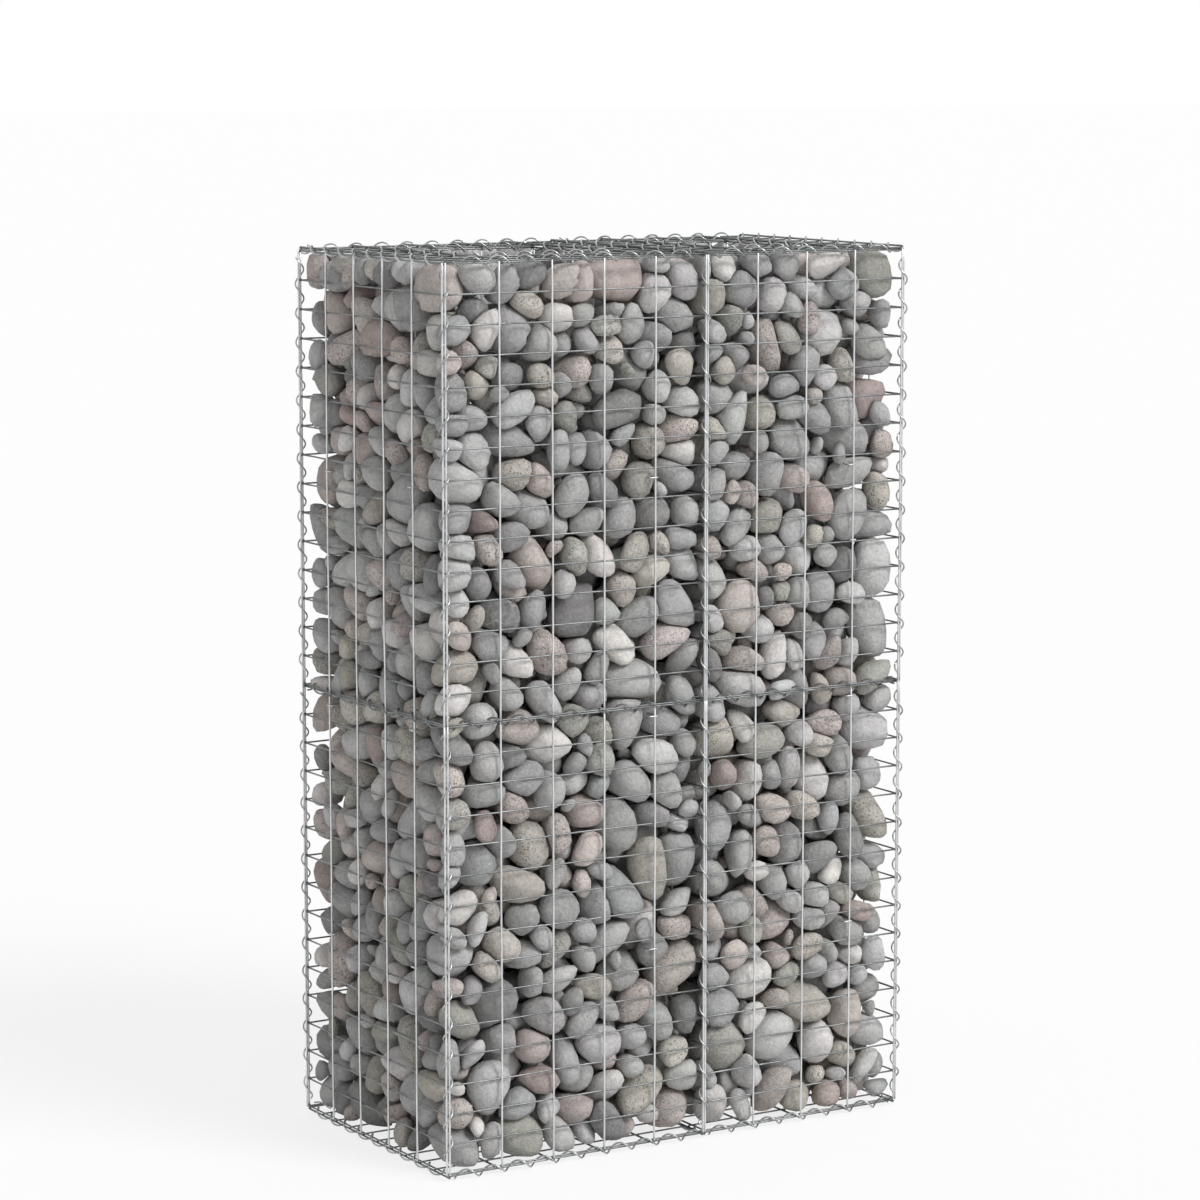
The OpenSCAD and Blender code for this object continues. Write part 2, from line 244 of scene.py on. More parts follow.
def zinc(name, bright, dull, roughness):
    """Hot-dip zinc: pale spangles, duller runs and a fine grain."""
    finish = Finish(name, Metallic=1.0)
    place = finish.node("ShaderNodeTexCoord", output=3)
    spangle = finish.node("ShaderNodeTexVoronoi", {}, {"Vector": place, "Scale": 260.0}, output=1)
    spangle = finish.node("ShaderNodeSeparateColor", {}, {0: spangle})
    runs = finish.noise(place, 38.0, 3.0)
    worn = finish.noise(place, 9.0, 2.0).band(0.38, 0.66)
    mask = spangle * 0.30 + runs.band(0.30, 0.72) * 0.40 + worn * 0.30
    finish.set("Base Color", finish.mix(mask, dull, bright))
    finish.set("Roughness", roughness + 0.16 * (1 - mask))
    finish.bump(finish.noise(place, 900.0, 2.0) + spangle * 0.3, 0.00012)
    return finish.material


def deselect():
    bpy.ops.object.select_all(action="DESELECT")


def placed():
    """Puts the place and turn of the new object into its mesh."""
    bpy.ops.object.transform_apply(location=True, rotation=True, scale=True)


ROD_TURNS = {"x": (0, math.pi / 2, 0), "y": (math.pi / 2, 0, 0), "z": (0, 0, 0)}


def choose_edges(rod, along, wanted):
    """Selects the edges for which wanted is true of their ends' places along the rod."""
    bpy.ops.object.mode_set(mode="EDIT")
    bpy.ops.mesh.select_mode(type="EDGE")
    bpy.ops.mesh.select_all(action="DESELECT")
    bpy.ops.object.mode_set(mode="OBJECT")
    for edge in rod.data.edges:
        edge.select = wanted(*(rod.data.vertices[v].co[along] for v in edge.vertices))
    bpy.ops.object.mode_set(mode="EDIT")


def rods(start, axis, length, thick, finish, step=(0, 0, 0), count=1, cuts=0):
    """Round wires side by side: one rod with cut ends, and an array of it."""
    deselect()
    along = "xyz".index(axis)
    middle = Vector(start)
    middle[along] += length / 2
    bpy.ops.mesh.primitive_cylinder_add(
        vertices=WIRE_SIDES, radius=thick / 2, depth=length, location=middle,
        rotation=ROD_TURNS[axis],
    )
    rod = bpy.context.object
    placed()
    if cuts:
        choose_edges(rod, along, lambda a, b: abs(a - b) >= thick / 4)
        bpy.ops.mesh.subdivide(number_cuts=cuts)

    def at_end(place):
        return min(abs(place - start[along]), abs(place - start[along] - length)) < AT_END

    choose_edges(rod, along, lambda a, b: at_end(a) and at_end(b))
    bpy.ops.mesh.bevel(offset=WIRE_END, segments=1)
    bpy.ops.object.mode_set(mode="OBJECT")
    if count > 1:
        array = rod.modifiers.new("array", "ARRAY")
        array.count = count
        array.use_relative_offset = False
        array.use_constant_offset = True
        array.constant_offset_displace = step
        bpy.ops.object.modifier_apply(modifier=array.name)
    rod.data.materials.append(finish)
    return rod


def joined(name, pieces):
    """Joins objects into one piece with a name."""
    deselect()
    for piece in pieces:
        piece.select_set(True)
    bpy.context.view_layer.objects.active = pieces[0]
    if len(pieces) > 1:
        bpy.ops.object.join()
    piece = bpy.context.object
    piece.name = name
    piece.data.name = name
    return piece


def mesh_piece(name, corners, faces):
    """A new object from arrays of corners and faces."""
    mesh = bpy.data.meshes.new(name)
    mesh.from_pydata(corners.tolist(), [], faces.tolist())
    mesh.update()
    piece = bpy.data.objects.new(name, mesh)
    bpy.context.collection.objects.link(piece)
    return piece


def grid_ball(cuts):
    """Corner directions and faces of a cube cut into squares and blown up to a ball."""
    index, corners, faces = {}, [], []
    for axis in range(3):
        for side in (-1, 1):
            for i in range(cuts):
                for j in range(cuts):
                    face = []
                    for a, b in ((0, 0), (1, 0), (1, 1), (0, 1)):
                        spot = [0, 0, 0]
                        spot[axis] = side * cuts
                        spot[(axis + 1) % 3] = 2 * (i + a) - cuts
                        spot[(axis + 2) % 3] = 2 * (j + b) - cuts
                        spot = tuple(spot)
                        if spot not in index:
                            index[spot] = len(corners)
                            corners.append(spot)
                        face.append(index[spot])
                    faces.append(face if side > 0 else face[::-1])
    flat = np.array(corners, float) / cuts
    ball = np.tan(flat * math.pi / 4)
    ball /= np.linalg.norm(ball, axis=1)[:, None]
    return ball, np.array(faces)


def welds(name, points, flat):
    """A squeezed nugget at each crossing, thin along the panel's own normal."""
    ball, faces = grid_ball(2)
    size = np.full(3, WELD_WIDE)
    size[flat] = WELD_HIGH
    nugget = ball * size
    points = np.array(points)
    corners = (points[:, None, :] + nugget[None, :, :]).reshape(-1, 3)
    faces = (np.arange(len(points))[:, None, None] * len(ball) + faces[None]).reshape(-1, 4)
    nuggets = mesh_piece(name, corners, faces)
    # The welds take the rows' zinc, painted darker as shade
    nuggets.data.materials.append(shaded_row_zinc)
    return nuggets


def bulge(piece, low, high, flat, outward):
    """Pushes the middle of a wall out a little, unevenly, and leaves its edges."""
    rng = np.random.default_rng(sum(map(ord, piece.name)))
    across, up = [a for a in range(3) if a != flat]
    corners = np.empty(len(piece.data.vertices) * 3)
    piece.data.vertices.foreach_get("co", corners)
    corners = corners.reshape(-1, 3)
    u = (corners[:, across] - low[across]) / (high[across] - low[across])
    v = (corners[:, up] - low[up]) / (high[up] - low[up])
    push = np.zeros(len(corners))
    for _ in range(BULGE_WAVES):
        a, b = rng.uniform(*BULGE_CLOSE, 2)
        shift_u, shift_v = rng.uniform(0, PHASE), rng.uniform(0, PHASE)
        push += np.sin(a * math.pi * u + shift_u) * np.sin(b * math.pi * v + shift_v)
    edge = np.clip(BULGE_RISE * np.minimum(np.minimum(u, 1 - u), np.minimum(v, 1 - v)), 0, 1)
    corners[:, flat] += outward * BULGE * edge * (BULGE_EVEN + BULGE_UNEVEN * push)
    corners[:, up] += BULGE_SWAY * BULGE * edge * np.roll(push, 3)
    piece.data.vertices.foreach_set("co", corners.ravel())
    piece.data.update()


def finished(piece, slot, *nodes):
    """Smooths a piece, puts it in the frame and hides the parts it stands for. The slot is not used."""
    deselect()
    piece.select_set(True)
    bpy.context.view_layer.objects.active = piece
    bpy.ops.object.shade_smooth_by_angle(angle=SMOOTH_ANGLE)
    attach(piece, "root")
    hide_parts(*nodes)


upright_zinc = zinc("galvanised_uprights", (0.80, 0.81, 0.81, 1), (0.57, 0.58, 0.59, 1), 0.40)
# The same zinc as the uprights, painted darker as painted shade, for the rows, welds and deck wires
shaded_row_zinc = zinc("galvanised_rows", (0.28, 0.29, 0.29, 1), (0.13, 0.135, 0.135, 1), 0.34)

# Each wall: its node, the way its rows run, and the side that its uprights are on
WALLS = {
    "front_left": ("x", -1), "front_right": ("x", -1), "back_left": ("x", 1),
    "back_right": ("x", 1), "side_left": ("y", -1), "side_right": ("y", 1),
    "partition": ("y", -1),
}
POCKET_WALLS = {"front": ("x", -1), "back": ("x", 1), "near": ("y", -1), "far": ("y", 1)}


def wall(node, axis, side, pushed):
    """An upright panel, its rows along an axis and its uprights on one side of them."""
    low, high = (np.array(corner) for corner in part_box(node))
    a, flat = (0, 1) if axis == "x" else (1, 0)
    first, last = low[a] + UPRIGHT_WIRE / 2, high[a] - UPRIGHT_WIRE / 2
    bottom, top = low[2] + ROW_WIRE / 2, high[2] - ROW_WIRE / 2
    plane = low[flat] + UPRIGHT_WIRE / 2 if side < 0 else high[flat] - UPRIGHT_WIRE / 2
    cols, rows = round((last - first) / CELL), round((top - bottom) / ROW_STEP)
    start, step = np.zeros(3), np.zeros(3)
    start[a], start[flat], start[2] = first, plane, low[2]
    step[a] = (last - first) / cols
    uprights = rods(start.tolist(), "z", high[2] - low[2], UPRIGHT_WIRE, upright_zinc, step,
                    cols + 1, 2 * rows - 1)
    start[flat], start[2] = plane - side * LAY, bottom
    # The rows take the zinc painted darker, as painted shade
    lines = rods(start.tolist(), axis, last - first, ROW_WIRE, shaded_row_zinc, (0, 0, ROW_STEP),
                 rows + 1, 2 * cols - 1)
    spots = []
    for i in range(cols + 1):
        for k in range(rows + 1):
            spot = [0, 0, bottom + k * ROW_STEP]
            spot[a], spot[flat] = first + i * step[a], plane - side * WELD_IN
            spots.append(spot)
    piece = joined("wire_" + node, [uprights, lines, welds("welds", spots, flat)])
    if pushed:
        bulge(piece, low, high, flat, side)
    finished(piece, "mesh_wire", node)


for tier in ("lower", "upper"):
    for place, (axis, side) in WALLS.items():
        wall(f"{tier}_{place}", axis, side, place != "partition")
for pocket in ("left", "right"):
    for place, (axis, side) in POCKET_WALLS.items():
        wall(f"pocket_{pocket}_{place}", axis, side, False)


def deck(node, over, hole=None):
    """A flat panel. The wires along X lie above the others when over is 1, below when -1."""
    low, high = (np.array(corner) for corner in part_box(node))
    first, last = low[0] + UPRIGHT_WIRE / 2, high[0] - UPRIGHT_WIRE / 2
    near, far = low[1] + ROW_WIRE / 2, high[1] - ROW_WIRE / 2
    outer = low[2] + UPRIGHT_WIRE / 2 if over > 0 else high[2] - UPRIGHT_WIRE / 2
    inner = outer + over * LAY
    cols, lines = round((last - first) / CELL), round((far - near) / ROW_STEP)
    # All wires of a deck take the rows' zinc, painted darker as shade
    made, spots = [], []
    for j in range(lines + 1):
        y = near + j * ROW_STEP
        runs = [(first, last)]
        if hole and hole[0][1] + RIM_SLACK < y < hole[1][1] - RIM_SLACK:
            runs = [(first, hole[0][0]), (hole[1][0], last)]
        for start, stop in runs:
            made.append(rods((start, y, inner), "x", stop - start, ROW_WIRE, shaded_row_zinc))
            spots += [(first + i * CELL, y, outer + over * WELD_IN) for i in range(cols + 1)
                      if start - RIM_SLACK < first + i * CELL < stop + RIM_SLACK]
    for i in range(cols + 1):
        x = first + i * CELL
        runs = [(low[1], high[1])]
        if hole and hole[0][0] + RIM_SLACK < x < hole[1][0] - RIM_SLACK:
            runs = [(low[1], hole[0][1] + ROW_WIRE / 2), (hole[1][1] - ROW_WIRE / 2, high[1])]
        for start, stop in runs:
            made.append(rods((x, start, outer), "y", stop - start, UPRIGHT_WIRE, shaded_row_zinc))
    piece = joined("wire_" + node, made + [welds("welds", spots, 2)])
    finished(piece, "mesh_wire", node)


def opening(side):
    """Corners of a lid's opening, between the wires that rim it."""
    low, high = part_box(f"pocket_{side}_floor")
    return (
        (low[0] + UPRIGHT_WIRE / 2, low[1] + ROW_WIRE / 2),
        (high[0] - UPRIGHT_WIRE / 2, high[1] - ROW_WIRE / 2),
    )


for side in ("left", "right"):
    deck("base_" + side, 1)
    deck("lid_" + side, -1, opening(side))
    deck(f"pocket_{side}_floor", 1)


# ---- Lacing spirals ----
# Open coils of zinc-coated spring wire, wound through the edge wires of two or three panels
# so that they hold them together. Each is screwed in from one end, where the real one is
# turned over; here both ends are closed flat.

SPIRAL_WIRE = 0.0029
SPIRAL_RADIUS = 0.00722
SPIRAL_PITCH = 0.050
SPIRAL_STEPS = 16
SPIRAL_SIDES = 8
SPIRAL_END = 0.012

spring_zinc = zinc("galvanised_spring", (0.60, 0.61, 0.62, 1), (0.24, 0.25, 0.25, 1), 0.26)
# The same spring zinc painted darker, as painted shade, for the coils between the tiers
shaded_spring_zinc = zinc("galvanised_spring_dull", (0.27, 0.28, 0.28, 1), (0.12, 0.125, 0.125, 1), 0.36)

COIL_TURNS = {"z": (0, 0, 0), "x": (0, math.pi / 2, 0), "y": (-math.pi / 2, 0, 0)}


def coil(place, axis, reach, hand, lace):
    """A coil from a mesh wire at place, over reach, at the angle lace at each mesh wire."""
    deselect()
    start, stop = SPIRAL_END, reach - SPIRAL_END
    climb = math.atan(SPIRAL_PITCH / (2 * math.pi * SPIRAL_RADIUS))
    bpy.ops.mesh.primitive_circle_add(
        vertices=SPIRAL_SIDES, radius=SPIRAL_WIRE / 2, rotation=(math.pi / 2, 0, 0)
    )
    turn = bpy.context.object
    turn.scale = (1, 1 / math.cos(climb), 1)
    turn.location = (SPIRAL_RADIUS, 0, start)
    placed()
    screw = turn.modifiers.new("screw", "SCREW")
    screw.angle = hand * 2 * math.pi * (stop - start) / SPIRAL_PITCH
    screw.screw_offset = stop - start
    screw.steps = screw.render_steps = round(SPIRAL_STEPS * (stop - start) / SPIRAL_PITCH)
    bpy.ops.object.modifier_apply(modifier=screw.name)
    bpy.ops.object.mode_set(mode="EDIT")
    bpy.ops.mesh.select_all(action="DESELECT")
    bpy.ops.mesh.select_mode(type="EDGE")
    bpy.ops.mesh.select_non_manifold()
    bpy.ops.mesh.edge_face_add()
    bpy.ops.mesh.select_all(action="SELECT")
    bpy.ops.mesh.normals_make_consistent(inside=False)
    bpy.ops.object.mode_set(mode="OBJECT")
    # The angle's zero lies on another side once the coil is laid along X or Y
    if axis == "x":
        lace += 90
    if axis == "y":
        lace = -lace
    turn.rotation_euler = (0, 0, math.radians(lace) + hand * 2 * math.pi * start / SPIRAL_PITCH)
    placed()
    turn.rotation_euler = COIL_TURNS[axis]
    turn.location = place
    placed()
    return turn


def spiral(name, coils):
    """The coils of one edge as one piece. Those between the tiers are painted darker than the others, as
    painted shade.
    """
    piece = joined(name.replace("spiral_", "coil_"), [coil(*one) for one in coils])
    piece.data.materials.append(shaded_spring_zinc if "_tier_" in name else spring_zinc)
    finished(piece, "spiral_wire", name)


# Where the coils' middles lie: how far in from the outer wires at the corners, at the seams
# and at the edges of base and lid, and how far below the lowest or above the highest row
EDGE_IN = 0.0023
FACE_IN = 0.00095
BAY_IN = 0.001908
TIER_IN = 0.00295
FRONT_LACE = 0.002425
SIDE_LACE = 0.003775
MIDDLE_LACE = 0.0003
LACE_DROP = 0.003075

side_low, side_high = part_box("lower_side_left")[0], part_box("upper_side_right")[1]
left_plane, right_plane = side_low[0] + UPRIGHT_WIRE / 2, side_high[0] - UPRIGHT_WIRE / 2
front_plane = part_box("lower_front_left")[0][1] + UPRIGHT_WIRE / 2
back_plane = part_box("lower_back_left")[1][1] - UPRIGHT_WIRE / 2
rows_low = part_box("lower_side_left")[0][2] + ROW_WIRE / 2
rows_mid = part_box("lower_side_left")[1][2] - ROW_WIRE / 2
rows_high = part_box("upper_side_left")[0][2] + ROW_WIRE / 2
rows_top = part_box("upper_side_left")[1][2] - ROW_WIRE / 2
tier = rows_mid - rows_low
part_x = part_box("lower_partition")[0][0] + UPRIGHT_WIRE / 2
bays = [
    (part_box(f"lower_front_{side}")[0][0] + UPRIGHT_WIRE / 2,
     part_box(f"lower_front_{side}")[1][0] - UPRIGHT_WIRE / 2) for side in ("left", "right")
]
deep = (side_low[1] + UPRIGHT_WIRE / 2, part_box("lower_side_left")[1][1] - UPRIGHT_WIRE / 2)

for name, x, y, hand, lace in (
    ("corner_front_left", left_plane + EDGE_IN, front_plane + FACE_IN, 1, 285),
    ("corner_front_right", right_plane - EDGE_IN, front_plane + FACE_IN, -1, 311),
    ("corner_back_left", left_plane + EDGE_IN, back_plane - FACE_IN, -1, 106),
    ("corner_back_right", right_plane - EDGE_IN, back_plane - FACE_IN, -1, 45),
    ("bay_front", part_x, front_plane + BAY_IN, -1, 270),
    ("bay_back", part_x, back_plane - BAY_IN, -1, 90),
):
    spiral("spiral_" + name, [((x, y, z), "z", tier, hand, lace) for z in (rows_low, rows_high)])

seam, under, over = (rows_mid + rows_high) / 2, rows_low - LACE_DROP, rows_top + LACE_DROP
for name, y, z, lace in (
    ("tier_front", front_plane + TIER_IN, seam, 180),
    ("tier_back", back_plane - TIER_IN, seam, 0),
    ("base_front", front_plane + FRONT_LACE, under, 210),
    ("base_back", back_plane - FRONT_LACE, under, 330),
    ("lid_front", front_plane + FRONT_LACE, over, 90),
    ("lid_back", back_plane - FRONT_LACE, over, 30),
):
    spiral("spiral_" + name, [((bay[0], y, z), "x", bay[1] - bay[0], 1, lace) for bay in bays])

for name, x, z, lace in (
    ("tier_left", left_plane + TIER_IN, seam, 180),
    ("tier_right", right_plane - TIER_IN, seam, 0),
    ("base_left", left_plane + SIDE_LACE, under, 210),
    ("base_middle", part_x + MIDDLE_LACE, under, 270),
    ("base_right", right_plane - SIDE_LACE, under, 330),
    ("lid_left", left_plane + SIDE_LACE, over, 150),
    ("lid_middle", part_x + MIDDLE_LACE, over, 90),
    ("lid_right", right_plane - SIDE_LACE, over, 30),
):
    spiral("spiral_" + name, [((x, deep[0], z), "y", deep[1] - deep[0], 1, lace)])

for side in ("left", "right"):
    rim = opening(side)
    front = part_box(f"pocket_{side}_front")[0][1] + UPRIGHT_WIRE / 2 + FRONT_LACE
    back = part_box(f"pocket_{side}_back")[1][1] - UPRIGHT_WIRE / 2 - FRONT_LACE
    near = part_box(f"pocket_{side}_near")[0][0] + UPRIGHT_WIRE / 2 + SIDE_LACE
    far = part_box(f"pocket_{side}_far")[1][0] - UPRIGHT_WIRE / 2 - SIDE_LACE
    across, back_run = rim[1][0] - rim[0][0], rim[1][1] - rim[0][1]
    spiral(f"spiral_pocket_{side}", [
        ((rim[0][0], front, over), "x", across, 1, 30),
        ((rim[0][0], back, over), "x", across, 1, 150),
        ((near, rim[0][1], over), "y", back_run, 1, 30),
        ((far, rim[0][1], over), "y", back_run, 1, 150),
    ])


# ---- Tie wires ----
# Lengths of soft zinc-coated wire that hold opposite walls together through the fill. Each
# end is hooked round an upright by hand and turned back inside.

TIE_WIRE = 0.0029
TIE_BESIDE = 0.0034
TIE_REACH = 0.018
TIE_BACK = 0.016
TIE_BEND = 0.0032
TIE_BEND_STEPS = 5
TIE_LEVELS_APART = 0.1

tie_zinc = zinc("galvanised_tie", (0.70, 0.71, 0.72, 1), (0.42, 0.43, 0.44, 1), 0.40)


def bent(points, name):
    """A round wire along points, its corners bent over a small radius."""
    deselect()
    curve = bpy.data.curves.new(name, "CURVE")
    curve.dimensions = "3D"
    curve.bevel_depth = TIE_WIRE / 2
    curve.bevel_resolution = 2
    curve.use_fill_caps = True
    soft = [points[0]]
    for before, here, after in zip(points, points[1:], points[2:]):
        before, here, after = Vector(before), Vector(here), Vector(after)
        start, stop = (before - here).normalized(), (after - here).normalized()
        a, b = here + start * TIE_BEND, here + stop * TIE_BEND
        for k in range(TIE_BEND_STEPS + 1):
            t = k / TIE_BEND_STEPS
            soft.append((a * (1 - t) ** 2 + here * 2 * t * (1 - t) + b * t ** 2)[:])
    soft.append(points[-1])
    line = curve.splines.new("POLY")
    line.points.add(len(soft) - 1)
    for point, place in zip(line.points, soft):
        point.co = (*place, 1)
    piece = bpy.data.objects.new(name, curve)
    bpy.context.collection.objects.link(piece)
    piece.select_set(True)
    bpy.context.view_layer.objects.active = piece
    bpy.ops.object.convert(target="MESH")
    piece = bpy.context.object
    piece.data.materials.clear()
    piece.data.materials.append(tie_zinc)
    return piece


def tie(place, length, way):
    """A tie from one wall to the other, its hooks round the uprights at both ends."""
    leg = TIE_BESIDE - TIE_REACH + TIE_WIRE
    points = [
        (leg, -TIE_BESIDE + TIE_BACK, 0), (leg, -TIE_BESIDE, 0), (TIE_BESIDE, -TIE_BESIDE, 0),
        (TIE_BESIDE, length + TIE_BESIDE, 0), (leg, length + TIE_BESIDE, 0),
        (leg, length + TIE_BESIDE - TIE_BACK, 0),
    ]
    return bent([tuple(Vector(place) + Vector(way(p))) for p in points], "tie")


def heights(node):
    """The three heights of the ties in a node, from where its corners lie."""
    z = np.sort(np.array([v.co.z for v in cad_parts[node].data.vertices]))
    split = np.nonzero(np.diff(z) > TIE_LEVELS_APART)[0]
    groups = np.split(z, split + 1)
    return [float(g.mean()) for g in groups]


ties = [tie((bay[1] - CELL, front_plane, z), back_plane - front_plane, lambda p: p)
        for bay in bays for z in heights("ties_across")]
finished(joined("tie_across", ties), "tie_wire", "ties_across")
ties = []
for z in heights("ties_along"):
    ties.append(tie((left_plane, deep[1] - CELL, z), right_plane - left_plane,
                    lambda p: (p[1], p[0], p[2])))
    ties.append(tie((left_plane, deep[0] + CELL, z), right_plane - left_plane,
                    lambda p: (p[1], -p[0], p[2])))
finished(joined("tie_along", ties), "tie_wire", "ties_along")


# ---- Cobble fill ----
# River cobbles packed by hand into each bay, from the base mesh to the lid, with small ones
# tucked between. Each is its own closed form, worn round by water. They lie against each
# other and just inside the mesh, and leave the room of the planting pocket.

# Cobbles and how closely they lie
COBBLE_RADIUS = 0.0290
COBBLE_SPREAD = 0.25
COBBLE_LEAST = 0.016
COBBLE_MOST = 0.052
COBBLE_LONG = (1.08, 1.75)
COBBLE_THIN = (0.68, 0.95)
COBBLE_SHARE = 0.74
COBBLE_ROUNDS = 150
PAIRS_EVERY = 8
PAIRS_SLACK = 0.01
PUSH_SHARE = 0.45
EDGE_CUT = 0.011
FULL_EDGE_CUT = 0.004

# Pebbles between them, in a layer behind each face and round each pocket
PEBBLE_LEAST = 0.010
PEBBLE_MOST = 0.020
PEBBLES = 600
PEBBLE_TRIES = 16000
PEBBLE_FLAT = (1.25, 0.95, 0.75)
PEBBLE_LONG = (1.80, 1.20, 0.95)
PEBBLE_DEPTH = 0.075
PEBBLE_BACK = 0.017
POCKET_LAYER = 0.04
PEBBLE_PRESS = 0.97

# How finely the stones are cut, coarser deep in the heap
COBBLE_CUTS = 4
PEBBLE_CUTS = 3
CORE_CUTS = 2
CORE_DEPTH = 0.080

# One stone: how far it swells against others, its clearances, and how unevenly it is worn
GROWN = 1.10
MESH_CLEAR = 0.0008
STONE_CLEAR = 0.0010
LEAST_ROOM = 0.004
NEAR_SHARE = 1.3
SHARPNESS = 9
BOXY = (2.0, 2.5)
LUMPS = 4
LUMP_HIGH = (0.004, 0.024)
LUMP_CLOSE = 2.4
TAPER = 0.26
BEND = 0.22
BEND_MIDDLE = 0.3
FLATS = (2, 5)
FLAT_ROOM = (0.74, 1.0)
TONE_SPREAD = (0.85, 1.15)
HUE_SPREAD = 0.008
SPECK_SPREAD = (0.3, 1.5)
VEIN_SPREAD = (0, 2.2)
TONE_LEAST = 0.02
TONE_MOST = 0.85
GRAIN_SHIFT = 9
TINY = 1e-9

# Sides of a pocket, as an axis and the way from a stone beside it into the pocket
POCKET_SIDES = ((0, 1), (0, -1), (1, 1), (1, -1), (2, 1))

# Upright edges that a bay's stones fill well: the near corner and the seam between the bays
FULL_EDGES = {"left": ((-1, -1), (1, -1), (1, 1)), "right": ((-1, -1), (-1, 1))}

# Kinds of stone: share of the heap, colour, dark specks, pale veins
KINDS = (
    (0.31, (0.380, 0.381, 0.378), 0.30, 0.10),
    (0.25, (0.500, 0.499, 0.494), 0.25, 0.16),
    (0.12, (0.488, 0.436, 0.415), 0.75, 0.08),
    (0.10, (0.475, 0.447, 0.405), 0.80, 0.05),
    (0.06, (0.368, 0.363, 0.332), 0.70, 0.08),
    (0.08, (0.630, 0.608, 0.591), 0.20, 0.22),
    (0.05, (0.250, 0.249, 0.247), 0.10, 0.22),
    (0.03, (0.398, 0.334, 0.316), 0.35, 0.08),
)


def cobble_finish():
    """Worn stone: clouded colour, dark and pale grains, thin pale veins and a fine pitting."""
    stone = Finish("river_cobble")
    grain = stone.node("ShaderNodeAttribute", {"attribute_name": "grain"}, output=1)
    tint = stone.node("ShaderNodeAttribute", {"attribute_name": "tint"})
    make = stone.node("ShaderNodeAttribute", {"attribute_name": "make"}, output=1)
    speck_share = stone.node("ShaderNodeSeparateXYZ", {}, {0: make})
    vein_share = stone.node("ShaderNodeSeparateXYZ", {}, {0: make}, output=1)
    cloud = stone.noise(grain, 30.0, 4.0, 0.6)
    mottle = stone.noise(grain, 150.0, 3.0, 0.65)
    grit = stone.noise(grain, 700.0, 2.0, 0.6)
    cells = stone.node("ShaderNodeTexVoronoi", {}, {"Vector": grain, "Scale": 480.0}, output=1)
    cells = stone.node("ShaderNodeSeparateColor", {}, {0: cells})
    patch = stone.noise(grain, 60.0, 2.0).band(0.30, 0.62)
    specks = cells.band(0.80, 0.86) * speck_share * (0.35 + patch * 0.65)
    pale = (1 - cells.band(0.10, 0.20)) * (0.15 + speck_share * 0.45)
    vein = (stone.noise(grain, 20.0, 3.0, 0.45) - 0.5).math("ABSOLUTE")
    vein = (1 - vein.band(0.004, 0.020)) * stone.noise(grain, 14.0).band(0.45, 0.62)
    streak = stone.node(
        "ShaderNodeTexWave", {"wave_type": "BANDS"},
        {"Vector": grain, "Scale": 26.0, "Distortion": 7.0, "Detail": 2.0, "Detail Scale": 1.4},
        output=1,
    ).band(0.55, 0.95) * vein_share * 0.25
    shade = 0.26 + cloud * 0.74 + mottle * 0.78
    colour = stone.node(
        "ShaderNodeVectorMath", {"operation": "SCALE"}, {"Vector": tint, "Scale": shade}
    )
    colour = stone.mix(pale * 0.6, colour, (0.66, 0.64, 0.61, 1))
    colour = stone.mix(specks * 0.75, colour, (0.090, 0.084, 0.080, 1))
    colour = stone.mix(streak, colour, (0.60, 0.57, 0.54, 1))
    colour = stone.mix(vein * vein_share, colour, (0.64, 0.62, 0.59, 1))
    stone.set("Base Color", colour)
    stone.set("Roughness", 0.60 + mottle * 0.40)
    stone.set("Specular IOR Level", 0.18)
    stone.bump(cloud * 0.4 + mottle * 0.45 + grit * 0.25, 0.0055)
    return stone.material


cobble = cobble_finish()


def turned(rng, count):
    """A random turn for each stone."""
    q = rng.normal(size=(count, 4))
    w, x, y, z = (q / np.linalg.norm(q, axis=1)[:, None]).T
    return np.stack([
        np.stack([1 - 2 * (y * y + z * z), 2 * (x * y - z * w), 2 * (x * z + y * w)], 1),
        np.stack([2 * (x * y + z * w), 1 - 2 * (x * x + z * z), 2 * (y * z - x * w)], 1),
        np.stack([2 * (x * z - y * w), 2 * (y * z + x * w), 1 - 2 * (x * x + y * y)], 1),
    ], 1)


